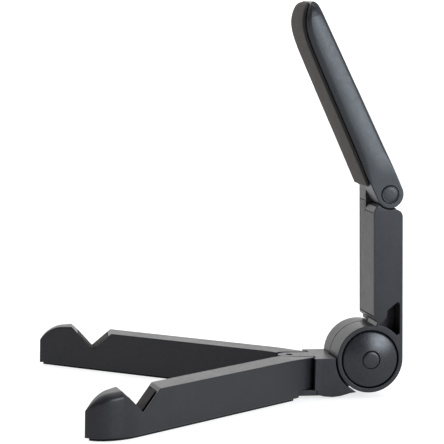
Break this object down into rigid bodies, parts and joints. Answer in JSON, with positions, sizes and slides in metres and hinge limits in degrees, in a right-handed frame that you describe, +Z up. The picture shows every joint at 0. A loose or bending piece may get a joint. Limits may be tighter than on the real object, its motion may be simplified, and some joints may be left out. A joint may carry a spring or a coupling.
{
  "type": "photo album stand",
  "caption": "Folding stand with two swinging legs that have V notches for a book or album, and a two-part back arm that folds down over the closed legs.",
  "frame": {"origin": "underside of the foot pad below the base block, on the middle plane", "axes": "+Z up, +X across the stand, -Y towards the open ends of the legs, +Y towards the back"},
  "size_m": [0.1793, 0.1619, 0.1855],
  "materials": {
    "shell_plastic": "fine-grained charcoal plastic",
    "arm_plastic": "satin charcoal plastic",
    "cap_plastic": "satin charcoal plastic",
    "cover_plastic": "satin charcoal plastic",
    "grip_rubber": "matt soft rubber",
    "sole_rubber": "matt black rubber",
    "pin_steel": "turned and plated",
    "spring_steel": "plain spring steel",
    "washer_nylon": "natural nylon"
  },
  "bodies": {
    "base": {"base_block": "shell_plastic", "foot_pad": "grip_rubber", "leg_pivot_rivet": "pin_steel", "leg_pivot_washer": "washer_nylon", "hub_bolt": "pin_steel", "hub_nut": "pin_steel", "hub_friction_disc": "washer_nylon", "hub_thrust_washer": "pin_steel", "hub_cone_spring": "spring_steel", "hub_far_cap": "cap_plastic", "hub_pin_plug": "cap_plastic"},
    "hub_cap": {"hub_cap": "cap_plastic"},
    "leg_right": {"leg_right": "shell_plastic", "leg_right_grip": "grip_rubber", "leg_right_sole": "sole_rubber"},
    "leg_left": {"leg_left": "shell_plastic", "leg_left_grip": "grip_rubber", "leg_left_sole": "sole_rubber"},
    "lower_arm": {"lower_arm": "shell_plastic", "lower_arm_cover": "cover_plastic", "cover_screw_lower": "pin_steel", "cover_screw_upper": "pin_steel", "upper_pivot_nut": "pin_steel", "upper_pivot_pin": "cap_plastic", "upper_cone_spring": "spring_steel"},
    "upper_arm": {"upper_arm": "arm_plastic", "upper_arm_grip": "grip_rubber"}
  },
  "joints": [
    {"name": "leg_right_swing", "type": "hinge", "parent": "base", "child": "leg_right", "pos_m": [0, -0.0214, 0.011], "axis": [0, 0, -1], "range_deg": [0, 37.9]},
    {"name": "leg_left_swing", "type": "hinge", "parent": "base", "child": "leg_left", "pos_m": [0, -0.0214, 0.011], "axis": [0, 0, 1], "range_deg": [0, 38.6]},
    {"name": "hub_fold", "type": "hinge", "parent": "base", "child": "lower_arm", "pos_m": [0, 0.015, 0.0184], "axis": [1, 0, 0], "range_deg": [-25, 88.3]},
    {"name": "upper_arm_tilt", "type": "hinge", "parent": "lower_arm", "child": "upper_arm", "pos_m": [0, 0.02243, 0.09681], "axis": [-1, 0, 0], "range_deg": [-30, 24.5]},
    {"name": "hub_cap_spin", "type": "hinge", "parent": "base", "child": "hub_cap", "pos_m": [0, 0.015, 0.0184], "axis": [1, 0, 0], "continuous": true}
  ]
}
